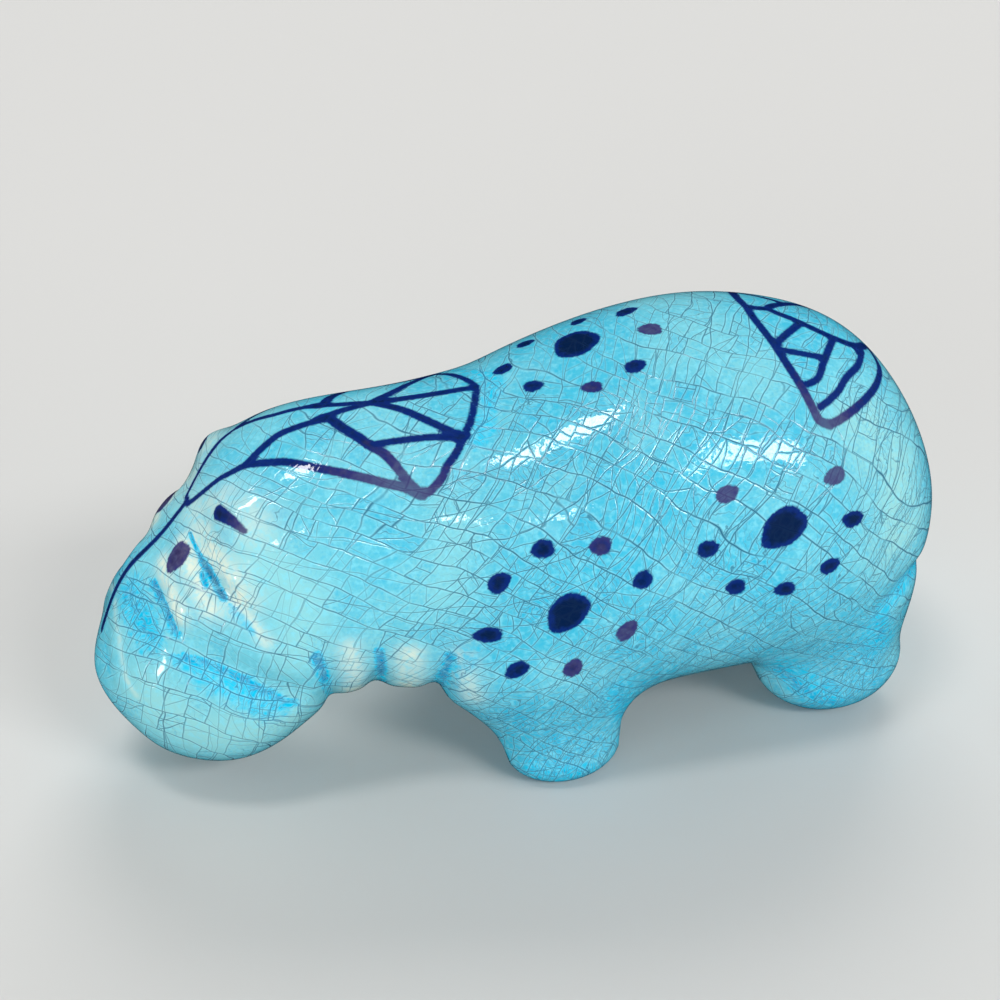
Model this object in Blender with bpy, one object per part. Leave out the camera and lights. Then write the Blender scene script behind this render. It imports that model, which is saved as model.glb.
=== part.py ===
# A hippopotamus of glazed ceramic, after the blue faience figures of the Nile valley.
# It is one hollow casting, glazed all over, and here it is one closed solid.
# The head points to -X, the animal's left side to -Y, and the four soles stand on Z = 0.

import bmesh
import bpy
import numpy as np

MM = 0.001

# The side view, in millimetres. Each station runs from the back of the animal to its belly:
# x and z on the upper outline, x and z on the lower outline, and the half width between them.
LIP = (-99.0, 25.0)
TAIL_END = (101.5, 53.0)
STATIONS = (
    (-96.5, 38.0, -91.5, 13.5, 15.0),   # front of the muzzle
    (-90.0, 52.0, -83.0, 6.0, 23.5),    # nose to chin
    (-79.5, 62.5, -70.0, 3.5, 29.5),    # between eye and nose
    (-67.0, 78.0, -57.0, 8.5, 32.0),    # brow to jaw
    (-51.0, 86.0, -44.0, 17.5, 32.0),   # ears to throat
    (-30.0, 87.5, -27.5, 17.5, 33.0),   # neck
    (-8.5, 89.0, -6.0, 17.5, 39.5),     # shoulder to breast
    (14.5, 96.0, 17.0, 14.0, 44.0),     # over the front legs
    (37.0, 101.0, 42.0, 12.0, 44.0),    # middle of the belly
    (58.0, 99.5, 67.0, 14.5, 43.5),     # haunch
    (78.0, 92.5, 87.0, 18.0, 36.0),     # over the hind legs
    (93.5, 76.0, 96.5, 36.0, 24.0),     # rump
)

# How far the widest part of a section hangs below its middle, as a share of its half height.
SAG = 0.10

# A leg is a round limb from its root in the body to its foot, longer along X than it is wide.
# Its narrowing is the share of its length along X that its width has. Its fillet is how softly
# it runs into the body, in millimetres.
LEGS = {
    "front": {"root": (2.0, 23.0, 32.0), "root_radius": 18.5,
              "foot": (4.5, 29.5, 7.5), "foot_radius": 9.5, "narrowing": 0.68, "fillet": 3.2},
    "hind": {"root": (71.0, 18.0, 33.0), "root_radius": 18.0,
             "foot": (75.0, 18.5, 13.0), "foot_radius": 14.5, "narrowing": 0.78, "fillet": 2.2},
}

# Modelled forms of each side: height above the skin (minus is a hollow), reach, and the line that
# the form follows, as x, distance from the middle plane, and z. It grows from nothing over the
# line's first stretch.
FORMS = {
    "eye lobe": (1.8, 5.0, ((-75, 6, 68), (-79, 13, 61), (-79, 19, 54))),
    "ear lobe": (3.2, 5.5, ((-70, 7, 78), (-67.5, 17, 73.5), (-66.5, 25, 64))),
    "groove behind the eye": (-2.2, 2.0, ((-75.5, 10, 66), (-72.5, 19.5, 63), (-69.5, 25.5, 58.5))),
    "end of that groove": (-0.7, 3.0, ((-69, 26, 58), (-68, 28, 56), (-65, 31, 50))),
    "crease before the eye": (-1.4, 2.5, ((-84.5, 6, 55.5), (-83, 13, 53.5), (-81.5, 19.5, 49))),
    "hollow beside the nose": (-1.6, 6.0, ((-85, 9, 55), (-87, 12, 50), (-87, 15, 44))),
    "rim of the muzzle": (0.9, 2.5, ((-91, 9, 51), (-95, 10, 40), (-94, 14, 33))),
    "mouth": (-2.4, 4.5, ((-83, 21, 48), (-76, 27, 45), (-69, 30.5, 41), (-60, 31, 35))),
    "first neck fold": (-1.9, 3.2, ((-50.5, 31, 48), (-49.5, 28, 31), (-48, 14, 21), (-47, 4, 19))),
    "second neck fold": (-1.8, 2.6, ((-38, 30, 45), (-38, 26, 30), (-37, 13, 19), (-37, 4, 17))),
    "third neck fold": (-2.2, 3.0, ((-20, 36, 46), (-24.5, 30, 29), (-24, 15, 19), (-24, 4, 17))),
    "dip of the nape": (-0.8, 7.0, ((-2, 28, 76), (-6, 14, 87), (-6, 4, 89))),
    "fold under the rump": (-2.2, 3.2, ((74, 40, 38), (87, 33, 42), (96, 20, 42.5))),
}

# Legs and forms see the middle plane as a rounded valley of this radius, so that what the two
# sides share has no crease along the middle.
SOFT_MIDDLE = 4.0

# The skin is worked out on rings of points, then thinned to few flat faces. The rings lie closer
# at the head and the rump: shares of all rings, up to these station numbers.
RING_COUNT = 220
RING_SHARES = (0.0, 0.38, 0.62, 1.0)
RING_PLACES = (0.0, 5.0, 10.0, 13.0)
SIDE_POINTS = 73
ROUGH_STEPS = 60
FINE_STEPS = 16
SEARCH_START = 35.0
SEARCH_GAIN = 0.8
THINNING = 0.14

# The guide block under the floor plane, which cuts the soles flat.
FLOOR_BLOCK = (300.0, 200.0, 40.0)


def closed_spline(knots):
    """A smooth closed curve through evenly numbered knots: a cubic spline with no ends."""
    count = len(knots)
    unit = np.eye(count)
    system = 4 * unit + np.roll(unit, 1, 0) + np.roll(unit, -1, 0)
    bend = np.linalg.solve(system, 6 * (np.roll(knots, 1, 0) - 2 * knots + np.roll(knots, -1, 0)))

    def at(number):
        step = np.floor(number).astype(int)
        part = (number - step)[:, None]
        rest = 1 - part
        here = step % count
        after = (step + 1) % count
        line = rest * knots[here] + part * knots[after]
        return line + ((rest**3 - rest) * bend[here] + (part**3 - part) * bend[after]) / 6

    return at


def body_rays():
    """Start, direction and length of a ray to the plain body, for each ring and point of a ring.

    A ring spans from the upper outline to the lower one, down one side."""
    stations = np.array(STATIONS)
    outline = closed_spline(np.vstack([LIP, stations[:, 0:2], TAIL_END, stations[::-1, 2:4]]))
    widths = np.concatenate([[0], stations[:, 4], [0], -stations[::-1, 4]])
    half_width = closed_spline(widths[:, None])
    share = np.linspace(0, 1, RING_COUNT + 2)[1:-1]
    place = np.interp(share, RING_SHARES, RING_PLACES)
    upper = outline(place)
    lower = outline(len(widths) - place)
    width = half_width(place)
    middle = (upper + lower) / 2
    reach = (upper - lower) / 2
    turn = np.linspace(0, np.pi, SIDE_POINTS)
    rise = np.cos(turn) - SAG * np.sin(turn) ** 2
    side = np.stack([reach[:, 0:1] * rise, width * np.sin(turn), reach[:, 1:2] * rise], axis=-1)
    start = np.stack([middle[:, 0], 0 * middle[:, 0], middle[:, 1]], axis=-1)[:, None, :]
    length = np.linalg.norm(side, axis=-1)
    return start, side / length[..., None], length


def smooth_union(first, second, fillet):
    """The smaller of two distances, with a soft change from one to the other."""
    return -fillet * np.logaddexp(-first / fillet, -second / fillet)


def share_along(points, start, end):
    """How far along the line from start to end each point lies, from 0 to 1."""
    run = end - start
    return np.clip((points - start) @ run / (run @ run), 0, 1)


def leg_distance(points, leg):
    """Distance from the points to a leg, in a space squeezed along X by its narrowing.

    The radius changes from root to foot as a smooth step."""
    squeeze = np.array([leg["narrowing"], 1, 1])
    root = np.array(leg["root"]) * squeeze
    foot = np.array(leg["foot"]) * squeeze
    points = points * squeeze
    share = share_along(points, root, foot)
    axis = root + share[..., None] * (foot - root)
    taper = share**2 * (3 - 2 * share)
    radius = leg["root_radius"] + taper * (leg["foot_radius"] - leg["root_radius"])
    return np.linalg.norm(points - axis, axis=-1) - radius


def form_height(points, form):
    """Height of one modelled form: it falls off as a bell curve away from its line."""
    height, spread, line = form
    line = np.array(line, dtype=float)
    nearest = np.full(points.shape[:-1], np.inf)
    growth = np.ones(points.shape[:-1])
    for start, end in zip(line[:-1], line[1:]):
        share = share_along(points, start, end)
        away = np.sum((points - start - share[..., None] * (end - start)) ** 2, axis=-1)
        first_stretch = np.array_equal(start, line[0])
        growth = np.where(away < nearest, share if first_stretch else 1.0, growth)
        nearest = np.minimum(nearest, away)
    return height * growth * np.exp(-nearest / spread**2)


def skin_points():
    """Rings of points on the whole skin: each ray runs out to where body, legs and forms end.

    It starts outside and steps inwards by the distance that is left to the joined shape. One
    side is worked out and the other mirrors it."""
    start, direction, body_length = body_rays()
    length = body_length + SEARCH_START
    for step in range(ROUGH_STEPS + FINE_STEPS):
        points = start + direction * length[..., None]
        points[..., 1] = np.hypot(points[..., 1], SOFT_MIDDLE)
        gap = length - body_length
        for leg in LEGS.values():
            gap = smooth_union(gap, leg_distance(points, leg), leg["fillet"])
        if step >= ROUGH_STEPS:
            for form in FORMS.values():
                gap = gap - form_height(points, form)
        length = np.maximum(length - SEARCH_GAIN * gap, 0)
    right = start + direction * length[..., None]
    left = right * (1, -1, 1)
    return np.concatenate([left, right[:, -2:0:-1]], axis=1)


def skin_mesh(name):
    """The rings of points, bridged one to the next and closed by a point at the lip and the tail."""
    points = skin_points()
    across = [(points[:, :, axis].min() + points[:, :, axis].max()) / 2 for axis in (0, 1)]
    centre = np.array([across[0], across[1], 0])
    rings = (points - centre) * MM
    bm = bmesh.new()
    loops = []
    for ring in rings:
        corners = [bm.verts.new(corner) for corner in ring]
        loops.append([bm.edges.new(pair) for pair in zip(corners, corners[1:] + corners[:1])])
    for here, after in zip(loops, loops[1:]):
        bmesh.ops.bridge_loops(bm, edges=here + after)
    for loop, end in ((loops[0], LIP), (loops[-1], TAIL_END)):
        cap = bmesh.ops.contextual_create(bm, geom=loop)["faces"]
        poked = bmesh.ops.poke(bm, faces=cap)["verts"][0]
        poked.co = (np.array([end[0], 0, end[1]]) - centre) * MM
    bmesh.ops.recalc_face_normals(bm, faces=bm.faces)
    mesh = bpy.data.meshes.new(name)
    bm.to_mesh(mesh)
    bm.free()
    return mesh


def glaze():
    """The copper blue glaze, clear and glossy."""
    material = bpy.data.materials.new("copper blue glaze")
    material.use_nodes = True
    shader = material.node_tree.nodes["Principled BSDF"]
    shader.inputs["Base Color"].default_value = (0.10, 0.58, 0.76, 1)
    shader.inputs["Roughness"].default_value = 0.08
    shader.inputs["Metallic"].default_value = 0
    return material


def floor_block():
    """A guide block under Z = 0 that cuts the four soles flat."""
    bpy.ops.mesh.primitive_cube_add(size=1)
    block = bpy.context.object
    block.name = "floor guide"
    block.scale = [size * MM for size in FLOOR_BLOCK]
    block.location = (0, 0, -FLOOR_BLOCK[2] / 2 * MM)
    block.hide_render = True
    block.display_type = "WIRE"
    return block


def build_hippo():
    """The hippo: the skin, thinned evenly on both sides, with its soles cut flat."""
    hippo = bpy.data.objects.new("hippo", skin_mesh("hippo"))
    bpy.context.collection.objects.link(hippo)
    hippo.data.materials.append(glaze())
    hippo.data.shade_smooth()
    thin = hippo.modifiers.new("few faces", "DECIMATE")
    thin.ratio = THINNING
    thin.use_symmetry = True
    thin.symmetry_axis = "Y"
    soles = hippo.modifiers.new("flat soles", "BOOLEAN")
    soles.operation = "DIFFERENCE"
    soles.solver = "EXACT"
    soles.object = floor_block()
    return hippo


for leftover in list(bpy.data.objects):
    bpy.data.objects.remove(leftover)

build_hippo()
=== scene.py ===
# A hippopotamus of slip cast ceramic under a copper blue crackle glaze, painted with river plants
# and dots. It is one piece, so the file follows it as a potter does: the view that it is judged
# from, the casting, the brushwork, the glaze, and last the table and the light.

import bpy
import numpy as np
from mathutils import Matrix, Vector


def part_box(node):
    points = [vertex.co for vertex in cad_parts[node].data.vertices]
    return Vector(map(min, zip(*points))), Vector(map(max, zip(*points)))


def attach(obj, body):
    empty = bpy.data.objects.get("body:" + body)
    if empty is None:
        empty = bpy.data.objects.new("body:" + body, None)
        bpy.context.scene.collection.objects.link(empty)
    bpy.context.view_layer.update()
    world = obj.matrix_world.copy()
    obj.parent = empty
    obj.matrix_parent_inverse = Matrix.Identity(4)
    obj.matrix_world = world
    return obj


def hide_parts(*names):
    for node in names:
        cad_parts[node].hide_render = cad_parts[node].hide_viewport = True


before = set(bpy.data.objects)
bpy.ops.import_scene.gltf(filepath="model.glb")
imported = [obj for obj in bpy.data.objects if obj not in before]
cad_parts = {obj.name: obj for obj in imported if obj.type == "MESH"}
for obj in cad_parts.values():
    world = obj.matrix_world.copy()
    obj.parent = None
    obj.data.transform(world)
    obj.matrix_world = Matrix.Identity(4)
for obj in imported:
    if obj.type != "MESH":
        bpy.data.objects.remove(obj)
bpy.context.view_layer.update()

# The camera
# It stands before the left shoulder and looks down on the back, through a long lens. The
# brushwork is placed through it, from pixels of the photograph.

# Angles in degrees, distances in metres, and the lens and its sensor in millimetres
PHOTO_PIXELS = 1000
VIEW_AZIMUTH = -14.5
VIEW_ELEVATION = 32.0
VIEW_DISTANCE = 0.450
VIEW_AIM = np.array([-0.0041, 0.0, 0.0575])
LENS = 69.66
SENSOR = 36.0

azimuth, elevation = np.radians([VIEW_AZIMUTH, VIEW_ELEVATION])
view_right = np.array([np.cos(azimuth), np.sin(azimuth), 0])
level_back = np.array([np.sin(azimuth), -np.cos(azimuth), 0])
view_back = level_back * np.cos(elevation) + np.array([0, 0, np.sin(elevation)])
view_up = np.cross(view_back, view_right)
view_place = VIEW_AIM + VIEW_DISTANCE * view_back


def standing(place, right, up, back):
    """The matrix of a camera or lamp at a place, with its own X to the right, Y up and Z to the back."""
    rows = [(*axes, at) for axes, at in zip(np.stack([right, up, back], axis=1), place)]
    return Matrix(rows + [(0, 0, 0, 1)])


camera_data = bpy.data.cameras.new("photograph")
camera_data.lens = LENS
camera_data.sensor_width = SENSOR
camera = bpy.data.objects.new("photograph", camera_data)
bpy.context.scene.collection.objects.link(camera)
camera.matrix_world = standing(view_place, view_right, view_up, view_back)
bpy.context.scene.camera = camera

# The casting
# A hollow figure of white earthenware, poured in a two-part mould. Its folds and lobes are soft,
# because the glaze fills them. The sizes are the solid's own, in millimetres, and its head
# points to -X.

MM = 0.001
LIP = (-99.0, 25.0)
TAIL_END = (101.5, 53.0)

# x and z on the upper outline, x and z on the lower outline, and the half width between them
STATIONS = (
    (-96.5, 38.0, -91.5, 13.5, 15.0),   # front of the muzzle
    (-90.0, 52.0, -83.0, 6.0, 23.5),    # nose to chin
    (-79.5, 62.5, -70.0, 3.5, 29.5),    # between eye and nose
    (-67.0, 78.0, -57.0, 8.5, 32.0),    # brow to jaw
    (-51.0, 86.0, -44.0, 17.5, 32.0),   # ears to throat
    (-30.0, 87.5, -27.5, 17.5, 33.0),   # neck
    (-8.5, 89.0, -6.0, 17.5, 39.5),     # shoulder to breast
    (14.5, 96.0, 17.0, 14.0, 44.0),     # over the front legs
    (37.0, 101.0, 42.0, 12.0, 44.0),    # middle of the belly
    (58.0, 99.5, 67.0, 14.5, 43.5),     # haunch
    (78.0, 92.5, 87.0, 18.0, 36.0),     # over the hind legs
    (93.5, 76.0, 96.5, 36.0, 24.0),     # rump
)

# How far the widest point of a ring lies below its middle, as a share of half its height
SAG = 0.10

# Each leg runs from its root to its foot. It is longer along X than across, by one over its
# narrowing, and its fillet softens the join to the body.
LEGS = {
    "front": {"root": (2.0, 23.0, 32.0), "root_radius": 18.5,
              "foot": (4.5, 29.5, 7.5), "foot_radius": 9.5, "narrowing": 0.68, "fillet": 3.2},
    "hind": {"root": (71.0, 18.0, 33.0), "root_radius": 18.0,
             "foot": (75.0, 18.5, 13.0), "foot_radius": 14.5, "narrowing": 0.78, "fillet": 2.2},
}

# Height above the skin (minus is a hollow), reach, and the line that the form follows
FORMS = {
    "eye lobe": (1.8, 5.0, ((-75, 6, 68), (-79, 13, 61), (-79, 19, 54))),
    "ear lobe": (3.2, 5.5, ((-70, 7, 78), (-67.5, 17, 73.5), (-66.5, 25, 64))),
    "groove behind the eye": (-2.2, 2.0, ((-75.5, 10, 66), (-72.5, 19.5, 63), (-69.5, 25.5, 58.5))),
    "end of that groove": (-0.7, 3.0, ((-69, 26, 58), (-68, 28, 56), (-65, 31, 50))),
    "crease before the eye": (-1.4, 2.5, ((-84.5, 6, 55.5), (-83, 13, 53.5), (-81.5, 19.5, 49))),
    "hollow beside the nose": (-1.6, 6.0, ((-85, 9, 55), (-87, 12, 50), (-87, 15, 44))),
    "rim of the muzzle": (0.9, 2.5, ((-91, 9, 51), (-95, 10, 40), (-94, 14, 33))),
    "mouth": (-2.4, 4.5, ((-83, 21, 48), (-76, 27, 45), (-69, 30.5, 41), (-60, 31, 35))),
    "first neck fold": (-1.9, 3.2, ((-50.5, 31, 48), (-49.5, 28, 31), (-48, 14, 21), (-47, 4, 19))),
    "second neck fold": (-1.8, 2.6, ((-38, 30, 45), (-38, 26, 30), (-37, 13, 19), (-37, 4, 17))),
    "third neck fold": (-2.2, 3.0, ((-20, 36, 46), (-24.5, 30, 29), (-24, 15, 19), (-24, 4, 17))),
    "dip of the nape": (-0.8, 7.0, ((-2, 28, 76), (-6, 14, 87), (-6, 4, 89))),
    "fold under the rump": (-2.2, 3.2, ((74, 40, 38), (87, 33, 42), (96, 20, 42.5))),
}

# Radius of the valley that stands for the middle plane, so that nothing creases along it
SOFT_MIDDLE = 4.0

# The grid: rings from lip to tail, closer at the head and the rump, and points down each side. A
# share of the rings lies before each numbered place of the outline.
RING_COUNT = 350
RING_SHARES = (0.0, 0.42, 0.66, 1.0)
RING_PLACES = (0.0, 5.0, 10.0, 13.0)
SIDE_POINTS = 142

# The search along each ray: steps without the forms and with them, how far outside the body it
# starts, and how much of the gap that is left each step takes
ROUGH_STEPS = 50
FINE_STEPS = 16
SEARCH_START = 35.0
SEARCH_GAIN = 0.8


def closed_spline(knots):
    """A smooth closed curve through evenly numbered knots: a cubic spline with no ends."""
    count = len(knots)
    unit = np.eye(count)
    system = 4 * unit + np.roll(unit, 1, 0) + np.roll(unit, -1, 0)
    bend = np.linalg.solve(system, 6 * (np.roll(knots, 1, 0) - 2 * knots + np.roll(knots, -1, 0)))

    def at(number):
        step = np.floor(number).astype(int)
        part = (number - step)[:, None]
        rest = 1 - part
        here = step % count
        after = (step + 1) % count
        line = rest * knots[here] + part * knots[after]
        return line + ((rest**3 - rest) * bend[here] + (part**3 - part) * bend[after]) / 6

    return at


def body_rays():
    """Start, direction and length of a ray to the plain body, for each ring and point of a ring.

    A ring's middle lies halfway between the outlines. Down the side its rise is the cosine of
    the turn, less a sag of the sine squared, and its width is the half width times the sine."""
    stations = np.array(STATIONS)
    outline = closed_spline(np.vstack([LIP, stations[:, 0:2], TAIL_END, stations[::-1, 2:4]]))
    widths = np.concatenate([[0], stations[:, 4], [0], -stations[::-1, 4]])
    half_width = closed_spline(widths[:, None])
    share = np.linspace(0, 1, RING_COUNT + 2)[1:-1]
    place = np.interp(share, RING_SHARES, RING_PLACES)
    upper = outline(place)
    lower = outline(len(widths) - place)
    width = half_width(place)
    middle = (upper + lower) / 2
    reach = (upper - lower) / 2
    turn = np.linspace(0, np.pi, SIDE_POINTS)
    rise = np.cos(turn) - SAG * np.sin(turn) ** 2
    side = np.stack([reach[:, 0:1] * rise, width * np.sin(turn), reach[:, 1:2] * rise], axis=-1)
    start = np.stack([middle[:, 0], 0 * middle[:, 0], middle[:, 1]], axis=-1)[:, None, :]
    length = np.linalg.norm(side, axis=-1)
    return start, side / length[..., None], length


def smooth_union(first, second, fillet):
    """The smaller of two distances, with a soft change from one to the other."""
    return -fillet * np.logaddexp(-first / fillet, -second / fillet)


def share_along(points, start, end):
    """How far along the line from start to end each point lies, from 0 to 1."""
    run = end - start
    return np.clip((points - start) @ run / (run @ run), 0, 1)


def leg_distance(points, leg):
    """Distance to a leg: a round limb whose radius changes from root to foot as a smooth step.

    It is measured in a space squeezed along X by the leg's narrowing."""
    squeeze = np.array([leg["narrowing"], 1, 1])
    root = np.array(leg["root"]) * squeeze
    foot = np.array(leg["foot"]) * squeeze
    points = points * squeeze
    share = share_along(points, root, foot)
    axis = root + share[..., None] * (foot - root)
    taper = share**2 * (3 - 2 * share)
    radius = leg["root_radius"] + taper * (leg["foot_radius"] - leg["root_radius"])
    return np.linalg.norm(points - axis, axis=-1) - radius


def form_height(points, form):
    """Height of a form: a bell curve of the distance to its line, grown along the first stretch."""
    height, spread, line = form
    line = np.array(line, dtype=float)
    nearest = np.full(points.shape[:-1], np.inf)
    growth = np.ones(points.shape[:-1])
    for start, end in zip(line[:-1], line[1:]):
        share = share_along(points, start, end)
        away = np.sum((points - start - share[..., None] * (end - start)) ** 2, axis=-1)
        first_stretch = np.array_equal(start, line[0])
        growth = np.where(away < nearest, share if first_stretch else 1.0, growth)
        nearest = np.minimum(nearest, away)
    return height * growth * np.exp(-nearest / spread**2)


def skin_points():
    """Rings of points on the skin: each ray steps inwards by the distance left to body, legs and forms.

    The middle plane counts as a rounded valley, so nothing creases along it. What would lie under
    the table is lifted onto it, which leaves the soles flat."""
    start, direction, body_length = body_rays()
    length = body_length + SEARCH_START
    for step in range(ROUGH_STEPS + FINE_STEPS):
        points = start + direction * length[..., None]
        points[..., 1] = np.hypot(points[..., 1], SOFT_MIDDLE)
        gap = length - body_length
        for leg in LEGS.values():
            gap = smooth_union(gap, leg_distance(points, leg), leg["fillet"])
        if step >= ROUGH_STEPS:
            for form in FORMS.values():
                gap = gap - form_height(points, form)
        length = np.maximum(length - SEARCH_GAIN * gap, 0)
    right = start + direction * length[..., None]
    right[..., 2] = np.maximum(right[..., 2], 0)
    left = right * (1, -1, 1)
    return np.concatenate([left, right[:, -2:0:-1]], axis=1)


def skin_faces(rings, around):
    """Four-sided faces between the rings, and a fan of triangles to the lip and to the tail."""
    number = np.arange(rings * around).reshape(rings, around)
    after = np.roll(number, -1, axis=1)
    quads = np.stack([number[:-1], number[1:], after[1:], after[:-1]], axis=-1).reshape(-1, 4)
    lip = rings * around
    front = np.stack([number[0], after[0], np.full(around, lip)], axis=-1)
    back = np.stack([after[-1], number[-1], np.full(around, lip + 1)], axis=-1)
    return quads.tolist() + front.tolist() + back.tolist()


rings = skin_points()
ends = [(LIP[0], 0, LIP[1]), (TAIL_END[0], 0, TAIL_END[1])]
skin = np.vstack([rings.reshape(-1, 3), ends])
solid_low, solid_high = np.array(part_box("hippo")) / MM
shift = (solid_low[0] + solid_high[0] - skin[:, 0].min() - skin[:, 0].max()) / 2
place = skin + (shift, 0, 0)

hippo_mesh = bpy.data.meshes.new("glazed_hippo")
hippo_mesh.from_pydata((place * MM).tolist(), [], skin_faces(*rings.shape[:2]))
hippo_mesh.shade_smooth()
hippo = bpy.data.objects.new("glazed_hippo", hippo_mesh)
bpy.context.scene.collection.objects.link(hippo)
bpy.context.view_layer.update()

# The brushwork
# Cobalt and manganese oxide in water, painted on the fired casting with a round brush before the
# glaze: a lily fan on the nape with its stem down the snout, another on the rump, and rings of
# dots. Where the brush ran dry the blue turns to plum.

# Brush width at both ends in mm, share of cobalt at both ends, and the way in pixels of the
# photograph. A share over 1 keeps the stroke blue for longer, one under 0 turns it plum sooner.
MIDDLE_STROKES = {
    "snout": (2.6, 2.0, 0.9, 0.8, ((102, 624), (116, 584), (146, 547), (166, 525), (188, 504))),
    "nape middle": (2.5, 2.3, 1.0, 0.9, ((374, 401), (384, 399), (412, 396), (440, 392), (474, 385))),
}
SIDE_STROKES = {
    "ear": (3.7, 1.5, 1.0, 0.1, ((218, 512.5), (229, 519), (244, 531))),
    "stem": (1.7, 2.0, 0.9, 1.0, ((188, 504), (204, 491), (219, 479), (232, 472), (245, 465))),
    "fan, inner edge": (2.1, 2.3, 1.0, 1.0, ((245, 465), (260, 450), (278, 435), (297, 427), (318, 420),
                                             (340, 411), (374, 402))),
    "fan, lower edge": (2.1, 2.4, 1.1, -0.1, ((245, 465), (262, 463), (286, 462), (308, 466), (320, 468.5),
                                             (343, 473), (369, 479), (389, 484), (403, 487), (421, 495.5))),
    "fan, closing edge": (1.9, 2.2, 1.6, 0.1, ((474, 385), (476, 391), (474, 406), (470, 423), (463.5, 436),
                                               (457, 452), (447, 466), (442, 478), (430, 491), (421, 495.5))),
    "fan, second rib": (2.5, 2.2, 1.0, 0.8, ((374, 403), (400, 409), (423, 418.5), (440.5, 426.6),
                                             (458, 434.6), (466, 436))),
    "fan, third rib": (3.0, 2.2, 1.2, 0.0, ((318, 420), (327, 417), (343, 428), (358, 437), (369, 445),
                                            (382, 452), (393.5, 463), (406, 479), (418, 491))),
    "fan, bar": (1.9, 2.1, 0.9, 0.9, ((369, 445), (389, 442), (412, 439), (435, 437), (463.5, 438))),
    "rump, front edge": (2.3, 2.5, 1.7, 0.0, ((731.5, 294), (744, 304), (753, 317), (763.6, 330.5),
                                              (774, 344), (783, 358), (793.5, 374), (804, 391),
                                              (813, 408.6), (819, 420), (829, 424.6))),
    "rump, middle petal": (2.4, 2.6, 1.0, 1.0, ((744, 304), (760, 306), (777, 313), (795, 320), (812, 328),
                                                (835, 338.5), (856, 346), (866, 345))),
    "rump, closing edge": (2.0, 2.3, 1.7, 0.1, ((866, 345), (875, 358), (879.6, 369.5), (877, 383),
                                                (869, 395), (858, 406), (844, 417), (832.5, 423.5),
                                                (829, 424.6))),
    "rump, first bar": (2.2, 2.0, 1.0, 0.9, ((799, 324), (786.6, 334), (776, 344))),
    "rump, second bar": (2.0, 2.0, 1.0, 0.9, ((777, 349), (793.5, 352), (809.5, 355), (821, 357))),
    "rump, third bar": (2.1, 1.9, 1.0, 0.9, ((832.5, 340), (828, 351), (823, 364), (818, 378), (807, 384.5))),
    "rump, fourth bar": (2.0, 1.9, 1.0, 0.7, ((862, 351), (858, 365), (846, 378), (839, 390), (829, 400.5),
                                              (820, 407))),
}

# Middle of each dot in pixels of the photograph, half its length and width, its tilt in degrees,
# and its share of cobalt. Each ring follows its middle dot. The dots on the back lie across the
# middle, the others on both sides.
SIDE_DOTS = (
    (176.5, 556.5, 18.0, 8.2, 62, 0.35),   # the eye
    (568, 613, 25, 17, 40, 1.0),           # the ring on the shoulder
    (543, 549, 13, 10, 15, 0.8), (601, 546, 12, 10, 20, 0.5), (499, 583, 14, 10, 40, 0.8),
    (643, 580, 12, 9, 40, 1.0), (488, 635, 16, 8, 5, 1.0), (627, 631, 14, 8, 45, 0.3),
    (517, 670, 14, 8, 25, 0.9), (573, 668, 12, 8, 40, 0.4),
    (784, 528, 27, 18, 40, 1.0),           # the ring on the haunch
    (727, 494, 13, 9, 25, 0.2), (835, 476, 12, 9, 35, 0.1), (853, 519, 12, 8, 25, 0.9),
    (708, 549, 12, 9, 25, 1.0), (830, 566, 12, 7, 35, 0.8), (736, 587, 11, 8, 20, 0.8),
    (785, 589, 12, 7, 15, 0.8),
)
BACK_DOTS = (
    (575.5, 343, 24, 12, 17, 1.0),
    (503, 369, 11, 4.5, 24, 0.9), (533, 386, 11, 6, 10, 0.8), (592, 387, 12, 6, 5, 0.5),
    (635, 366, 12, 7, 15, 0.8), (650, 329, 13, 6, 0, 0.3), (626, 311.5, 12, 3.5, 18, 0.9),
    (578, 321.5, 9, 2.5, 20, 0.9), (525, 343.5, 10, 2.7, 20, 0.9),
)

# Waves round the rim of a dot, and their height as a share of the dot's size
DOT_WAVES = ((3, 0.05), (5, 0.03))

# Pixels between the points of a stroke, the distance in mm past which paint no longer matters, and
# how many points of the skin are measured at a time
BRUSH_STEP = 2.0
FAR_FROM_PAINT = 6.0
BLOCK = 8000


def sight(pixel):
    """Where a pixel of the photograph lies on the skin, in millimetres: along a ray from the camera.

    A ray that just misses takes the nearest skin."""
    across, down = np.array(pixel) - PHOTO_PIXELS / 2
    focal = LENS / SENSOR * PHOTO_PIXELS
    ray = view_right * across - view_up * down - view_back * focal
    ray = ray / np.linalg.norm(ray)
    hit, point, _, _ = hippo.ray_cast(view_place, ray)
    if not hit:
        beside = view_place + ray * VIEW_DISTANCE
        _, point, _, _ = hippo.closest_point_on_mesh(beside)
    return np.array(point) / MM


def brush_way(corners):
    """Pixels every BRUSH_STEP or so along a smooth line through the corners.

    Between two corners it is a cubic whose end slopes follow the corners on either side."""
    corners = np.array(corners, dtype=float)
    slope = np.gradient(corners, axis=0)
    way = []
    for here, after, leaving, arriving in zip(corners[:-1], corners[1:], slope[:-1], slope[1:]):
        count = int(np.ceil(np.linalg.norm(after - here) / BRUSH_STEP))
        t = (np.arange(count) / count)[:, None]
        blend = t**2 * (3 - 2 * t)
        bend = (t**3 - 2 * t**2 + t) * leaving + (t**3 - t**2) * arriving
        way.append((1 - blend) * here + blend * after + bend)
    return np.vstack(way + [corners[-1:]])


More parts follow.
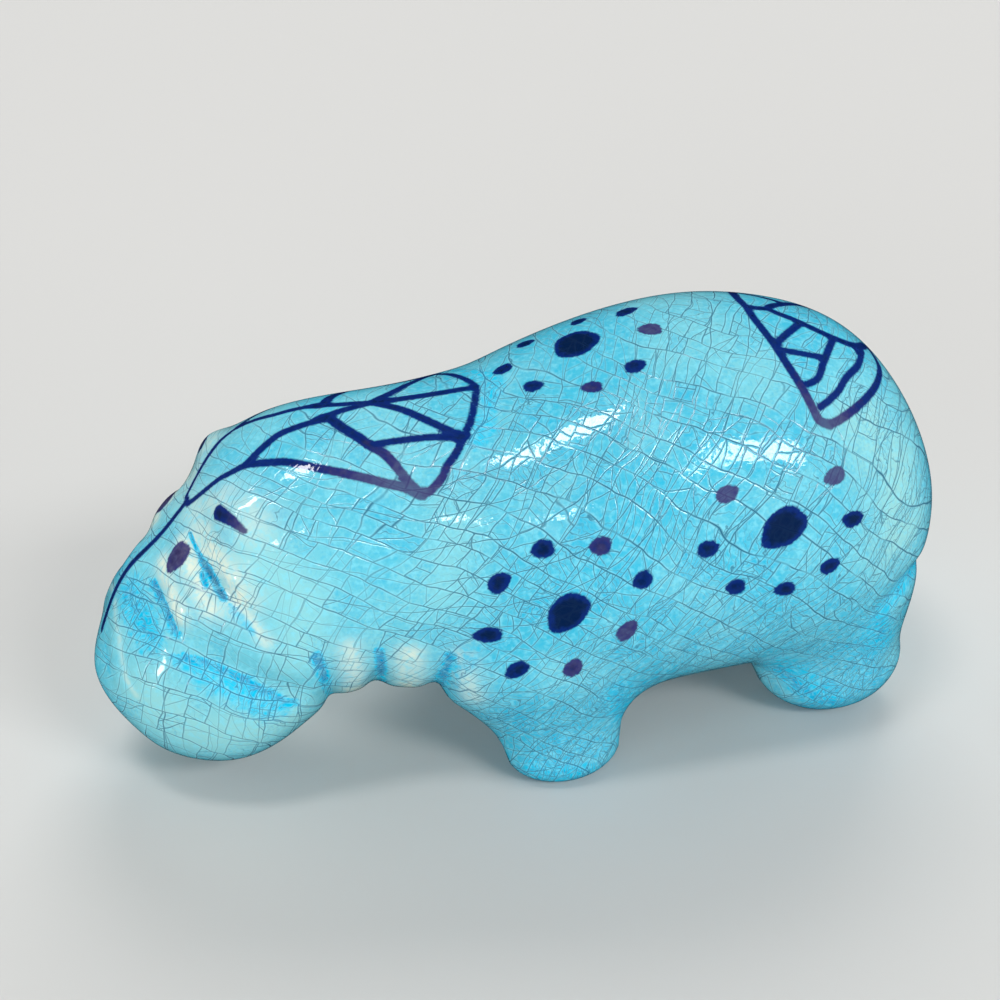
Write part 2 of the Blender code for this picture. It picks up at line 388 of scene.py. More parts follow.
def stroke_trail(stroke, on_middle):
    """The stroke on the skin: rows of x, y, z, half its width, and its share of cobalt."""
    width_start, width_end, cobalt_start, cobalt_end, corners = stroke
    trail = np.array([sight(pixel) for pixel in brush_way(corners)])
    trail[:, 1] = 0 if on_middle else np.minimum(trail[:, 1], 0)
    share = np.linspace(0, 1, len(trail))
    half_width = (width_start + share * (width_end - width_start)) / 2
    cobalt = cobalt_start + share * (cobalt_end - cobalt_start)
    return np.column_stack([trail, half_width, cobalt])


def paint_from_strokes(points, normals):
    """The nearest stroke to each point on the skin, in four rows of numbers.

    How far outside it lies in mm (minus is inside), how far to the stroke's left (minus is right),
    half the stroke's width, and its share of cobalt. Left is the skin's normal crossed with the way
    of the stroke."""
    trails = [stroke_trail(stroke, True) for stroke in MIDDLE_STROKES.values()]
    trails += [stroke_trail(stroke, False) for stroke in SIDE_STROKES.values()]
    ways = np.vstack([np.gradient(trail[:, :3], axis=0) for trail in trails])
    trail = np.vstack(trails)
    found = np.empty((4, len(points)))
    for start in range(0, len(points), BLOCK):
        block = slice(start, start + BLOCK)
        square = (points[block] ** 2).sum(1)[:, None] + (trail[:, :3] ** 2).sum(1)
        square = square - 2 * points[block] @ trail[:, :3].T
        away = np.sqrt(np.maximum(square, 0)) - trail[:, 3]
        nearest = away.argmin(1)
        left = np.cross(normals[block], ways[nearest])
        left = left / np.linalg.norm(left, axis=1, keepdims=True)
        offset = points[block] - trail[nearest, :3]
        found[:, block] = away.min(1), (offset * left).sum(1), trail[nearest, 3], trail[nearest, 4]
    return found


def paint_from_dot(points, dot):
    """How far outside a dot each point lies in mm, in the plane of the dot's two half axes.

    The rim is an ellipse with waves round it, which start where the dot's place says."""
    across, down, half_length, half_width, tilt, _ = dot
    turn = np.radians(tilt)
    along = half_length * np.array([np.cos(turn), -np.sin(turn)])
    beside = half_width * np.array([np.sin(turn), np.cos(turn)])
    middle = np.array([across, down])
    ends = [sight(middle + reach) - sight(middle - reach) for reach in (along, beside)]
    axes = np.stack(ends) / 2
    offset = points - sight(middle)
    share = offset @ np.linalg.pinv(axes)
    off_plane = np.linalg.norm(offset - share @ axes, axis=1)
    size = np.linalg.norm(axes, axis=1).mean()
    way = np.arctan2(share[:, 1], share[:, 0])
    rim = 1 + sum(height * np.sin(waves * way + across + down) for waves, height in DOT_WAVES)
    return (np.linalg.norm(share, axis=1) - rim) * size + np.maximum(off_plane - size, 0)


normals = np.empty((len(skin), 3), dtype=np.float32)
hippo_mesh.vertices.foreach_get("normal", normals.reshape(-1))
far_side = place[:, 1:2] > 0
near_side = np.where(far_side, place * (1, -1, 1), place)
near_normals = np.where(far_side, normals * (1, -1, 1), normals)
stroke, across, half_width, cobalt = paint_from_strokes(near_side, near_normals)
dots = np.full(len(place), FAR_FROM_PAINT)
for points, group in ((near_side, SIDE_DOTS), (place, BACK_DOTS)):
    for dot in group:
        outside = paint_from_dot(points, dot)
        cobalt = np.where(outside < np.minimum(stroke, dots), dot[5], cobalt)
        dots = np.minimum(dots, outside)

# The glaze's own places
# The glaze ran while it was molten: it lies deep and blue in the hollows and round the feet, and
# thin and greenish cream over the lobes, folds and rims. It cracked finest on the legs and belly.
# The same deep blue under the belly and between the legs is painted shade, and the pale over the
# back edge of the rump is a painted rim light.

# Strength, reach above and below the line in mm, and the line: where it shows, in pixels of the
# photograph, and elsewhere in millimetres on one side
POOLS_AND_SHADE = {
    "groove behind the eye, top": (1.0, 0.5, 0.6, ((190, 533), (196, 547), (203, 561))),
    "groove behind the eye, foot": (1.5, 0.85, 0.95, ((203, 561), (209, 571), (216, 583), (223, 597))),
    "drop beside it": (0.9, 0.9, 1.0, ((202, 574), (206, 585))),
    "below that groove": (0.45, 1.8, 1.8, ((232, 608), (252, 631))),
    "crease before the eye": (1.1, 0.6, 2.0, ((155, 581), (163, 598), (170, 613), (176, 629))),
    "hollow beside the nose": (0.75, 5.0, 5.5, ((130, 592), (140, 612), (150, 634))),
    "front of the muzzle": (0.35, 2.5, 2.5, ((105, 645), (111, 674))),
    "mouth": (0.88, 0.7, 3.4, ((184, 655), (210, 662), (240, 675), (265, 689), (286, 700))),
    "under the mouth": (0.62, 2.4, 6.5, ((215, 672), (245, 686), (272, 702))),
    "first neck fold": (1.2, 1.2, 1.7, ((317, 655), (323, 672), (330, 700))),
    "second neck fold": (1.3, 1.0, 1.3, ((379, 650), (381, 668), (381, 688))),
    "third neck fold": (1.2, 1.2, 1.8, ((449, 655), (443, 672), (438, 692))),
    "behind the third fold": (0.4, 4.0, 4.5, ((470, 650), (455, 680))),
    "nape": (0.55, 3.0, 3.5, ((497, 383), (490, 402), (484, 425), (478, 440))),
    "first fold of the throat": (1.0, 2.5, 2.5, ((-48, 16, 21), (-47, 0, 19))),
    "second fold of the throat": (1.0, 2.2, 2.2, ((-37.5, 16, 20), (-37, 0, 17))),
    "third fold of the throat": (1.0, 2.6, 2.6, ((-24, 17, 20), (-24, 0, 17))),
    "under the rump": (0.8, 2.0, 4.0, ((80, 38, 38), (87, 33, 42), (96, 20, 42))),
    # These five deepen the blue under the belly and between the legs, where the body shades them: painted
    # shade.
    "behind the front leg": (0.5, 7.0, 7.0, ((20, 34, 24), (24, 28, 18))),
    "inside the front leg": (0.5, 8.0, 8.0, ((5, 14, 16), (18, 14, 15))),
    "front of the hind leg": (0.6, 7.0, 7.0, ((58, 30, 22), (66, 33, 10))),
    "between the hind legs": (0.8, 8.0, 8.0, ((70, 0, 12), (90, 0, 24))),
    "back of the front leg": (0.75, 4.5, 4.5, ((618, 690), (624, 712))),
    "toes of the front foot": (0.8, 2.5, 2.5, ((532, 768), (558, 773), (588, 769))),
    "toes of the hind foot": (0.85, 3.5, 3.5, ((778, 668), (800, 688), (835, 702))),
    "back of the hind leg": (0.75, 4.5, 5.5, ((878, 622), (884, 640))),
}
LOBES = {
    "eye lobe, front": (0.95, 2.8, 3.0, ((163, 563), (169, 588), (179, 613))),
    "eye lobe, back": (0.95, 3.2, 3.4, ((184, 542), (190, 564), (200, 588), (212, 606))),
    "ear lobe": (1.0, 4.2, 4.2, ((200, 534), (214, 555), (229, 578), (240, 600))),
    "end of the ear lobe": (0.7, 1.8, 1.8, ((240, 600), (252, 622), (266, 642))),
    "brow": (0.5, 6.0, 6.0, ((196, 512), (222, 498), (250, 520))),
    "rim of the muzzle": (0.45, 0.8, 1.0, ((115, 602), (119, 635), (127, 680), (136, 694))),
    "first neck roll": (0.85, 3.0, 3.0, ((350, 650), (354, 690))),
    "second neck roll": (0.85, 3.4, 3.4, ((410, 655), (410, 686))),
    "breast": (0.6, 3.6, 3.6, ((462, 660), (470, 695))),
    "first roll of the throat": (0.8, 4.5, 4.5, ((-43, 14, 20), (-42, 0, 18))),
    "second roll of the throat": (0.8, 5.0, 5.0, ((-31, 14, 19), (-31, 0, 17))),
}
THIN_AND_RIM_LIGHT = {
    "head": (0.55, 22.0, 22.0, ((-80, 15, 45), (-58, 20, 60))),
    "muzzle": (0.9, 13.0, 15.0, ((150, 700), (210, 735), (280, 722))),
    "cheek": (0.8, 11.0, 11.0, ((262, 560), (300, 600), (300, 650))),
    "shoulder": (0.6, 10.0, 10.0, ((455, 500), (455, 540), (440, 590))),
    "back": (0.5, 12.0, 10.0, ((640, 300), (700, 320), (740, 380))),
    # The pale over the back edge of the rump is a painted rim light.
    "rump": (1.0, 15.0, 15.0, ((870, 430), (895, 470), (900, 530))),
}
FINE_CRACKS = {
    "body": (0.60, 40.0, 40.0, ((15, 20, 55), (75, 15, 55))),
    "belly": (0.9, 14.0, 14.0, ((-10, 40, 22), (40, 42, 24), (70, 40, 28))),
    "front leg": (1.0, 14.0, 14.0, ((2, 36, 22), (4, 36, 4))),
    "hind leg": (1.0, 18.0, 16.0, ((76, 34, 26), (76, 34, 6))),
    "flank": (0.68, 18.0, 18.0, ((20, 44, 42), (65, 43, 42))),
    "under the belly": (0.8, 20.0, 20.0, ((0, 0, 15), (60, 0, 13))),
}

# The glaze gathers round the soles: how deep, and up to what height in mm
SOLE_DEPTH = 0.7
SOLE_REACH = 5.0


def glaze_line(line):
    """A line in millimetres on one side, in the solid's own place: from pixels by sight."""
    if len(line[0]) == 2:
        line = [sight(pixel) - (shift, 0, 0) for pixel in line]
    return np.array(line, dtype=float)


def strongest(points, places):
    """The strongest of the named places at each point: strength times a bell curve of the distance.

    The bell curve has one reach above the line and another below it."""
    found = np.zeros(len(points))
    for strength, above, below, line in places.values():
        line = glaze_line(line)
        line[:, 1] = np.abs(line[:, 1])
        for start, end in zip(line[:-1], line[1:]):
            share = share_along(points, start, end)
            offset = points - start - share[:, None] * (end - start)
            reach = np.where(offset[:, 2] > 0, above, below)
            found = np.maximum(found, strength * np.exp(-np.sum(offset**2, axis=-1) / reach**2))
    return found


folded = skin * (1, 0, 1)
folded[:, 1] = np.abs(skin[:, 1])
rim_of_sole = SOLE_DEPTH * np.exp(-((skin[:, 2] / SOLE_REACH) ** 2))
marks = {
    "stroke": np.minimum(stroke, FAR_FROM_PAINT),
    "across": np.clip(across, -FAR_FROM_PAINT, FAR_FROM_PAINT),
    "half_width": half_width,
    "dots": dots,
    "cobalt": cobalt,
    "pool_and_shade": np.maximum(strongest(folded, POOLS_AND_SHADE), rim_of_sole),
    "lobe": strongest(folded, LOBES),
    "thin": strongest(folded, THIN_AND_RIM_LIGHT),
    "fine": strongest(folded, FINE_CRACKS),
}
for name, values in marks.items():
    attribute = hippo_mesh.attributes.new(name, "FLOAT", "POINT")
    attribute.data.foreach_set("value", values.astype(np.float32))
attribute = hippo_mesh.attributes.new("facing", "FLOAT_VECTOR", "POINT")
attribute.data.foreach_set("vector", normals.reshape(-1))

# The glaze
# A clear copper blue alkaline glaze on white earthenware, fired to a wet gloss. It shrank more than
# the clay and cracked: long cracks first, then shorter ones from crack to crack at every angle,
# last a fine net on the legs and the belly and deep in the folds.

# A fired glaze is glass: hard and clear, so the eye sees sharp highlights over a soft colour
GLAZE_ROUGHNESS = 0.035
GLAZE_IOR = 1.52

# Copper in the glaze: thin, plain and thick, three depths of a pool, and over a lobe almost bare.
# The thin colour also serves as the painted rim light, and the pool colours also serve as the painted shade.
GLAZE_PALE_AND_RIM_LIGHT = "98d8da"
GLAZE_BLUE = "4fc0da"
GLAZE_DEEP = "12b3dc"
SHALLOW_POOL_AND_SHADE = "10c8ee"
DEEP_POOL_AND_SHADE = "0296cb"
DARK_POOL_AND_SHADE = "04506f"
GLAZE_CREAM = "e6f0de"

# Stain in the cracks on thin glaze, and in the pools and the painted shade under the body; a painted
# highlight beside them; and pale flecks
CRACK_TEAL = "035273"
CRACK_BLUE = "046590"
EDGE_GLINT = "b4eaf4"
FLECK_PALE = "86dff0"

# Brush colours: cobalt, cobalt laid on thick, and the plum that manganese gives where it is dry
COBALT = "081c6c"
COBALT_THICK = "02072a"
PLUM = "43346a"

glaze = bpy.data.materials.new("copper blue crackle glaze")
glaze.use_nodes = True
tree = glaze.node_tree
shader = tree.nodes["Principled BSDF"]
shader.inputs["Roughness"].default_value = GLAZE_ROUGHNESS
shader.inputs["IOR"].default_value = GLAZE_IOR
shader.inputs["Metallic"].default_value = 0.0


def linear(code):
    """An sRGB hex colour as linear red, green, blue and full alpha."""
    values = np.array([int(code[i:i + 2], 16) for i in (0, 2, 4)]) / 255
    values = np.where(values > 0.04045, ((values + 0.055) / 1.055) ** 2.4, values / 12.92)
    return (*values, 1.0)


def add(kind, *values, output=None, **settings):
    """Add a node to the glaze and give its first output that is in use, or the named one.

    The settings are the node's own. The values go to its inputs in use, in their order, and a
    value that is another node's output is linked."""
    made = tree.nodes.new("ShaderNode" + kind)
    for name, value in settings.items():
        setattr(made, name, value)
    for socket, value in zip([socket for socket in made.inputs if socket.enabled], values):
        if isinstance(value, bpy.types.NodeSocket):
            tree.links.new(value, socket)
        else:
            socket.default_value = value
    return made.outputs[output] if output else next(socket for socket in made.outputs if socket.enabled)


SMOOTH = {"interpolation_type": "SMOOTHSTEP"}
COLOUR = {"data_type": "RGBA"}

coordinates = add("TexCoord", output="Object")
millimetres = add("VectorMath", coordinates, (1 / MM,) * 3, operation="MULTIPLY")
marked = {name: add("Attribute", output="Fac", attribute_name=name) for name in marks}
facing = add("Attribute", output="Vector", attribute_name="facing")

# Patterns of noise: the size of their clouds in mm, their detail, and two levels of the noise with
# what becomes of each
MOTTLES = {
    "finer net": (14.0, 2.0, 0.40, 0.62, -0.08, 0.25),
    "faint crack": (8.0, 1.0, 0.34, 0.52, 0.5, 1.0),
    "thin glaze": (22.0, 3.0, 0.38, 0.66, 0.0, 0.55),
    "cream": (5.0, 3.0, 0.25, 0.60, 0.55, 1.0),
    "fleck": (1.3, 3.0, 0.46, 0.68, 0.0, 0.5),
}
mottle = {}
for name, (size, detail, *levels) in MOTTLES.items():
    clouds = add("TexNoise", millimetres, 1 / size, detail)
    mottle[name] = add("MapRange", clouds, *levels, **SMOOTH)

# Patterns of noise about zero, which shift an edge or a colour: the size of their clouds in mm, and
# their detail
SHIFTS = {"feathers": (1.6, 4.0), "bleed": (0.7, 3.0), "streaks": (1.5, 2.0)}
shift_by = {}
for name, (size, detail) in SHIFTS.items():
    clouds = add("TexNoise", millimetres, 1 / size, detail)
    shift_by[name] = add("Math", clouds, 0.5, operation="SUBTRACT")

# The cracks bend: how far noise moves them in mm, and the size of its clouds in mm. The small
# splits and hair cracks bend once more.
BENDS = ((24.0, 60.0), (4.5, 15.0), (0.7, 3.5))
FINE_BEND = (1.7, 1.9)
crack_place = millimetres
for reach, size in BENDS:
    clouds = add("TexNoise", millimetres, 1 / size, 0.0, output="Color")
    crack_place = add("VectorMath", clouds, (reach,) * 3, crack_place, operation="MULTIPLY_ADD")
reach, size = FINE_BEND
clouds = add("TexNoise", millimetres, 1 / size, 1.0, output="Color")
fine_place = add("VectorMath", clouds, (reach,) * 3, crack_place, operation="MULTIPLY_ADD")

# Families of cracks: the distance between two, and the width of one, in mm. Real cracks are about
# 0.1 mm wide, and they are drawn about twice as wide, so that they show.
LONG_CRACKS = (5.2, 0.26)
RUNGS = (4.6, 0.23)
ARCS = (8.0, 0.20)
SPLITS = (3.0, 0.19)
SMALL_SPLITS = (1.8, 0.17)
HAIR_CRACKS = (0.9, 0.15)

# The directions across the long cracks and across the rungs between them, and the middles in mm of
# the round shells that the arcs lie on
LONG_ACROSS = Vector((0.50, 0.34, 0.80)).normalized()
RUNG_ACROSS = Vector((0.78, -0.40, -0.48)).normalized()
ARC_CENTRES = ((-15.0, 20.0, 150.0), (150.0, -30.0, -40.0))

# Where the skin turns along a family's planes, a crack would smear. The sine of the angle between
# them is the slope: below the least a crack is no longer kept narrow, and between the two fading
# slopes it goes out.
LEAST_SLOPE = 0.12
FADING_SLOPES = (0.2, 0.5)

# How many cracks a plate's own family is moved by at most, and the width of the painted highlight along
# both sides of a crack, in crack widths
PLATE_JUMP = 60.0
GLINT_WIDTH = 2.6


def cracks_across(across, family, jump, place=crack_place):
    """Cracks of a family along planes at uneven distances, a painted highlight along their edges, and a
    colour between two.

    Across is the planes' direction. Where it points away from the place's origin, they are round
    shells. A jump of its own in each plate moves them, so that they end at the plate's edge. A crack
    is as wide where the skin lies along the planes as where it stands across them."""
    size, width = family
    number = add("VectorMath", place, across, operation="DOT_PRODUCT")
    number = add("Math", number, 1 / size, jump, operation="MULTIPLY_ADD")
    colour = add("TexVoronoi", number, 1.0, output="Color", voronoi_dimensions="1D")
    gap = add("TexVoronoi", number, 1.0, voronoi_dimensions="1D", feature="DISTANCE_TO_EDGE")
    lean = add("VectorMath", across, facing, operation="DOT_PRODUCT")
    square = add("Math", lean, lean, operation="MULTIPLY")
    slope = add("Math", add("Math", 1.0, square, operation="SUBTRACT"), 0.5, operation="POWER")
    shown = add("MapRange", slope, *FADING_SLOPES, **SMOOTH)
    gap = add("Math", gap, add("Math", slope, LEAST_SLOPE, operation="MAXIMUM"), operation="DIVIDE")
    line = add("MapRange", gap, 0.0, width / size, shown, 0.0, **SMOOTH)
    # The pale band beside each crack is a painted highlight, where the plate edges would catch the light.
    crack_glint = add("MapRange", gap, 0.0, GLINT_WIDTH * width / size, shown, 0.0, **SMOOTH)
    return line, crack_glint, colour


def any_way(colour):
    """A direction from a random colour."""
    centred = add("VectorMath", colour, (0.5,) * 3, operation="SUBTRACT")
    return add("VectorMath", centred, operation="NORMALIZE")


def jump_from(colour, channel):
    """A jump from one channel of a random colour."""
    part = add("SeparateColor", colour, output=channel)
    return add("Math", part, PLATE_JUMP, operation="MULTIPLY")


def another(colour, plate):
    """A new random colour for each piece of each plate."""
    return add("TexWhiteNoise", add("Mix", 0.5, colour, plate, **COLOUR), output="Color")


long_cracks, long_crack_glint, strip = cracks_across(LONG_ACROSS, LONG_CRACKS, 0.0)
rungs, rung_glint, rung = cracks_across(RUNG_ACROSS, RUNGS, jump_from(strip, "Red"))
arcs = []
for centre in ARC_CENTRES:
    from_centre = add("VectorMath", crack_place, centre, operation="SUBTRACT")
    away = add("VectorMath", from_centre, operation="NORMALIZE")
    arcs.append(cracks_across(away, ARCS, 0.0, from_centre))
(arcs_down, glint_down, _), (arcs_back, glint_back, _) = arcs
plate = another(strip, rung)
splits, split_glint, piece = cracks_across(any_way(plate), SPLITS, jump_from(plate, "Green"))
piece = another(piece, plate)
small_splits, small_split_glint, bit = cracks_across(
    any_way(piece), SMALL_SPLITS, jump_from(piece, "Green"), fine_place)
bit = another(bit, piece)
hair_cracks, hair_glint, _ = cracks_across(
    any_way(bit), HAIR_CRACKS, jump_from(bit, "Green"), fine_place)

# How fine the cracks run here, from 0 on the brow to 1 on the legs, and more in the chosen plates:
# two levels of a plate's random number, and what each adds
CHOSEN_PLATES = (0.62, 0.92, 0.0, 0.30)
plate_share = add("SeparateColor", plate, output="Blue")
chosen = add("MapRange", plate_share, *CHOSEN_PLATES, **SMOOTH)
fineness = add("Math", marked["fine"], marked["pool_and_shade"], operation="MAXIMUM")
fineness = add("Math", fineness, mottle["finer net"], operation="ADD")
fineness = add("Math", fineness, chosen, operation="ADD")

# Two finenesses, and a family's strength at each
RUNG_GROWTH = (0.0, 0.3, 0.70, 0.9)
DOWN_GROWTH = (0.0, 0.3, 0.75, 0.95)
BACK_GROWTH = (0.0, 0.4, 0.55, 0.9)
SPLIT_GROWTH = (0.0, 0.35, 0.35, 0.85)
SMALL_GROWTH = (0.15, 0.6, 0.06, 0.75)
HAIR_GROWTH = (0.35, 0.95, 0.0, 0.70)


def crackle(cracks, crack_glint, families):
    """The cracks so far with their painted highlights, and more families of them, each as strong as the
    fineness makes it.
    """
    for line, edge, growth in families:
        strength = add("MapRange", fineness, *growth, **SMOOTH)
        line = add("Math", line, strength, operation="MULTIPLY")
        edge = add("Math", edge, strength, operation="MULTIPLY")
        cracks = add("Math", cracks, line, operation="MAXIMUM")
        crack_glint = add("Math", crack_glint, edge, operation="MAXIMUM")
    return cracks, crack_glint


cracks = add("Math", long_cracks, mottle["faint crack"], operation="MULTIPLY")
crack_glint = add("Math", long_crack_glint, mottle["faint crack"], operation="MULTIPLY")
broad_cracks, crack_glint = crackle(cracks, crack_glint, (
    (rungs, rung_glint, RUNG_GROWTH),
    (arcs_down, glint_down, DOWN_GROWTH),
    (arcs_back, glint_back, BACK_GROWTH),
    (splits, split_glint, SPLIT_GROWTH),
))
cracks, crack_glint = crackle(broad_cracks, crack_glint, (
    (small_splits, small_split_glint, SMALL_GROWTH),
    (hair_cracks, hair_glint, HAIR_GROWTH),
))

# Blue glaze: paler where it is thin and where a rim light is painted on the rump, deeper on the legs, and a
# little uneven from plate to plate.
# Each value is a share of the deep blue, and the grain's clouds are in mm.
PLATE_TINT = 0.20
CHOSEN_TINT = 0.4
THIN_AND_RIM_LIGHT_TINT = -0.35
LEG_TINT = 0.50
BIT_TINT = 0.10
GRAIN_SIZE = 0.7
GRAIN_LEVELS = (0.3, 0.7, -0.26, 0.26)

# Paler where the glaze is thin, and where the rim light is painted on the rump.
thinness = add("Math", mottle["thin glaze"], marked["thin"], operation="MAXIMUM")
colour = add("Mix", thinness, linear(GLAZE_BLUE), linear(GLAZE_PALE_AND_RIM_LIGHT), **COLOUR)
depth = add("Math", plate_share, PLATE_TINT, operation="MULTIPLY")
depth = add("Math", chosen, CHOSEN_TINT, depth, operation="MULTIPLY_ADD")
depth = add("Math", marked["thin"], THIN_AND_RIM_LIGHT_TINT, depth, operation="MULTIPLY_ADD")
depth = add("Math", marked["fine"], LEG_TINT, depth, operation="MULTIPLY_ADD")
bit_share = add("SeparateColor", bit, output="Red")
depth = add("Math", bit_share, BIT_TINT, depth, operation="MULTIPLY_ADD")
grain = add("MapRange", add("TexNoise", millimetres, 1 / GRAIN_SIZE, 3.0), *GRAIN_LEVELS)
depth = add("Math", depth, grain, operation="ADD")
colour = add("Mix", depth, colour, linear(GLAZE_DEEP), clamp_factor=True, **COLOUR)

# Cream on the lobes, and pools that are feathered at their rims and darken with their depth. The
# pool mark also carries the painted shade under the belly and between the legs.
FEATHERING = 0.9
POOL_AND_SHADE_RIM = (0.08, 0.32)
POOL_AND_SHADE_COLOURS = (
    (0.15, 0.70, 1.0, SHALLOW_POOL_AND_SHADE),
    (0.60, 1.05, 1.0, DEEP_POOL_AND_SHADE),
    (1.00, 1.50, 0.7, DARK_POOL_AND_SHADE),
)

cream = add("Math", marked["lobe"], mottle["cream"], operation="MULTIPLY")
colour = add("Mix", cream, colour, linear(GLAZE_CREAM), **COLOUR)
# The pool mark holds the glaze pools in the hollows and the painted shade under the body.
in_pool_and_shade = add("MapRange", marked["pool_and_shade"], *POOL_AND_SHADE_RIM, **SMOOTH)
pool_and_shade = add("Math", shift_by["feathers"], FEATHERING, marked["pool_and_shade"], operation="MULTIPLY_ADD")
pool_and_shade = add("Math", pool_and_shade, in_pool_and_shade, operation="MULTIPLY")
for shallow, deep, most, code in POOL_AND_SHADE_COLOURS:
    share = add("MapRange", pool_and_shade, shallow, deep, 0.0, most, **SMOOTH)
    colour = add("Mix", share, colour, linear(code), **COLOUR)

# A painted highlight along both sides of each crack, pale flecks, then the stain in the cracks, which is
# stronger in a fine net
GLINT_SHARE = 0.36
STAIN = (0.0, 0.45, 0.72, 0.90)

# The painted highlight along the crack edges is mixed in here, in a pale blue.
crack_glint = add("Math", crack_glint, GLINT_SHARE, operation="MULTIPLY")
colour = add("Mix", crack_glint, colour, linear(EDGE_GLINT), **COLOUR)
colour = add("Mix", mottle["fleck"], colour, linear(FLECK_PALE), **COLOUR)
crack_colour = add("Mix", in_pool_and_shade, linear(CRACK_TEAL), linear(CRACK_BLUE), **COLOUR)
stain = add("MapRange", fineness, *STAIN, **SMOOTH)
stain = add("Math", cracks, stain, operation="MULTIPLY")
colour = add("Mix", stain, colour, crack_colour, **COLOUR)

# Brushwork under the glaze. Its edge bled a little, in mm, and more round the dots. It is thick
# and dark inside, turns plum where little cobalt is left, and a crack shows through it faintly.
STROKE_BLEED = 0.5
DOT_BLEED = 0.9
ROUND_END = 0.10
SOFT_EDGE = (-0.36, 0.22, 1.0, 0.0)
STREAKY = 0.6
STREAKY_THICK = 2.4
THICK_INSIDE = (-2.0, -0.4, 0.8, 0.0)
PLUM_TO_BLUE = (0.1, 0.8)
COVER = (-0.1, 0.5, 0.86, 0.98)
CRACKED_COVER = -0.05

edge = add("Math", marked["across"], operation="ABSOLUTE")
edge = add("Math", edge, marked["half_width"], operation="SUBTRACT")
round_end = add("Math", marked["stroke"], ROUND_END, operation="SUBTRACT")
edge = add("Math", edge, round_end, operation="MAXIMUM")
edge = add("Math", shift_by["bleed"], STROKE_BLEED, edge, operation="MULTIPLY_ADD")
dot_edge = add("Math", shift_by["bleed"], DOT_BLEED, marked["dots"], operation="MULTIPLY_ADD")
edge = add("Math", edge, dot_edge, operation="MINIMUM")
cobalt_share = add("Math", shift_by["streaks"], STREAKY, marked["cobalt"], operation="MULTIPLY_ADD")
thick = add("Math", shift_by["streaks"], STREAKY_THICK, edge, operation="MULTIPLY_ADD")
thick = add("MapRange", thick, *THICK_INSIDE, **SMOOTH)
ink = add("Mix", thick, linear(COBALT), linear(COBALT_THICK), **COLOUR)
blue = add("MapRange", cobalt_share, *PLUM_TO_BLUE, **SMOOTH)
ink = add("Mix", blue, linear(PLUM), ink, **COLOUR)
cover = add("MapRange", cobalt_share, *COVER, **SMOOTH)
cover = add("Math", cracks, CRACKED_COVER, cover, operation="MULTIPLY_ADD")
inked = add("MapRange", edge, *SOFT_EDGE, **SMOOTH)
inked = add("Math", inked, cover, operation="MULTIPLY")
colour = add("Mix", inked, colour, ink, **COLOUR)
tree.links.new(colour, shader.inputs["Base Color"])

# The glaze waves a little, it is crinkled most on the legs, and each broad crack is a fine groove in
# it, which the paint all but fills. Heights and sizes are in mm.
WAVE_HEIGHT = 0.10
WAVE_SIZE = 12.0
CRINKLE_HEIGHT = 0.07
CRINKLE_SIZE = 1.1
LEAST_CRINKLE = 0.45
GROOVE_DEPTH = 0.06
PAINT_FILL = -0.8

clouds = add("TexNoise", millimetres, 1 / WAVE_SIZE, 1.0)
wave = add("Bump", 1.0, WAVE_HEIGHT * MM, 1.0, clouds)
crinkled = add("MapRange", marked["fine"], 0.0, 1.0, LEAST_CRINKLE, 1.0)
clouds = add("TexNoise", millimetres, 1 / CRINKLE_SIZE, 2.0)
crinkle = add("Bump", crinkled, CRINKLE_HEIGHT * MM, 1.0, clouds, wave)
unfilled = add("Math", inked, PAINT_FILL, 1.0, operation="MULTIPLY_ADD")
grooves = add("Math", unfilled, broad_cracks, operation="MULTIPLY")
relief = add("Bump", 1.0, GROOVE_DEPTH * MM, 1.0, grooves, crinkle, invert=True)
tree.links.new(relief, shader.inputs["Normal"])

hippo_mesh.materials.append(glaze)
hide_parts("hippo")
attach(hippo, "root")

# The table
# A plain pale matt board, 60 metres wide, so that its rim lies far away in every view. The gloss
# doesn't mirror it, which leaves the belly and the legs their deep blue.

TABLE_SIZE = 60.0
TABLE_GREY = "d0cfcc"
TABLE_ROUGHNESS = 0.9

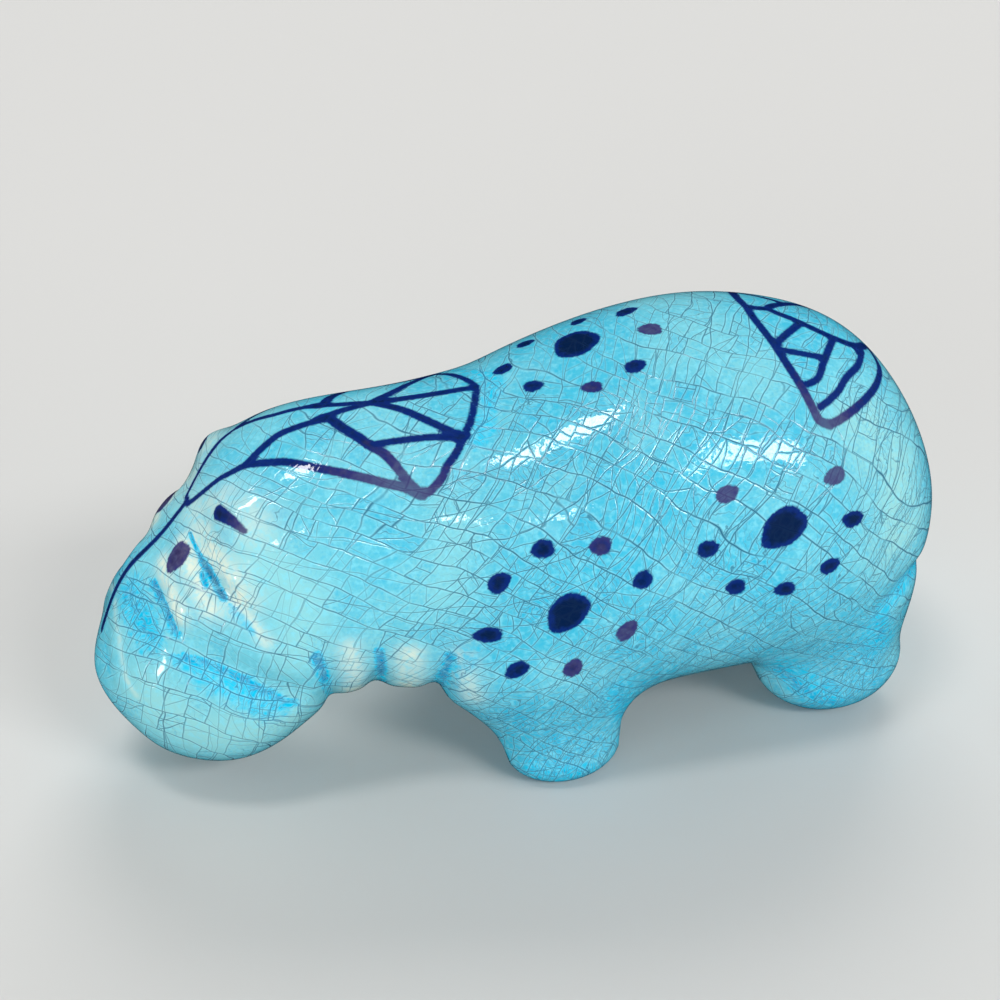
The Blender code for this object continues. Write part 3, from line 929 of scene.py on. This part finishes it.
half = TABLE_SIZE / 2
table_corners = [(-half, -half, 0), (half, -half, 0), (half, half, 0), (-half, half, 0)]
table_mesh = bpy.data.meshes.new("table")
table_mesh.from_pydata(table_corners, [], [(0, 1, 2, 3)])
table = bpy.data.objects.new("table", table_mesh)
bpy.context.scene.collection.objects.link(table)
board = bpy.data.materials.new("pale matt board")
board.use_nodes = True
matt = board.node_tree.nodes["Principled BSDF"]
matt.inputs["Base Color"].default_value = linear(TABLE_GREY)
matt.inputs["Roughness"].default_value = TABLE_ROUGHNESS
table_mesh.materials.append(board)
table.visible_glossy = False

# The light
# Softboxes eight metres away. Four of them show in the gloss, where the photograph has its
# highlights. The fills all round and the even light of the sky don't, as in a dark studio.

# Azimuth and elevation in degrees as seen from the figure, roll in degrees, width and height in
# metres, watts, and whether the gloss shows it
SOFTBOXES = {
    "overhead softbox": (-60, 74, 44, 1.9, 1.2, 128, True),
    "side softbox": (30, 37, -20, 3.0, 1.4, 210, True),
    "softbox by the camera": (-18, 36, 19, 0.64, 0.40, 13, True),
    "softbox before the muzzle": (-70, 0, 90, 1.8, 0.72, 64, True),
    "fill behind": (160, 45, 0, 4.8, 3.2, 256, False),
    "fill at the head": (-40, 6, 0, 8.0, 4.0, 390, False),
    "fill at the rump": (55, 7, 0, 8.0, 4.0, 280, False),
    "fill behind the head": (-135, 12, 0, 8.0, 4.0, 260, False),
    "fill behind the rump": (135, 12, 0, 8.0, 4.0, 260, False),
}
LAMP_DISTANCE = 8.0   # metres
SKY = "dfe2e6"
SKY_STRENGTH = 0.34

for name, (turn, rise, roll, wide, high, power, shows) in SOFTBOXES.items():
    light = bpy.data.lights.new(name, "AREA")
    light.shape = "RECTANGLE"
    light.size = wide
    light.size_y = high
    light.energy = power
    lamp = bpy.data.objects.new(name, light)
    lamp.visible_glossy = shows
    bpy.context.scene.collection.objects.link(lamp)
    turn, rise, roll = np.radians([turn, rise, roll])
    back = np.array([np.sin(turn) * np.cos(rise), -np.cos(turn) * np.cos(rise), np.sin(rise)])
    level = np.array([np.cos(turn), np.sin(turn), 0])
    right = level * np.cos(roll) + np.cross(back, level) * np.sin(roll)
    lamp.matrix_world = standing(VIEW_AIM + LAMP_DISTANCE * back, right, np.cross(back, right), back)

world = bpy.data.worlds.new("plain sky")
world.use_nodes = True
world.node_tree.nodes["Background"].inputs["Color"].default_value = linear(SKY)
world.node_tree.nodes["Background"].inputs["Strength"].default_value = SKY_STRENGTH
bpy.context.scene.world = world
world.cycles_visibility.glossy = False
bpy.context.scene.view_settings.view_transform = "Standard"
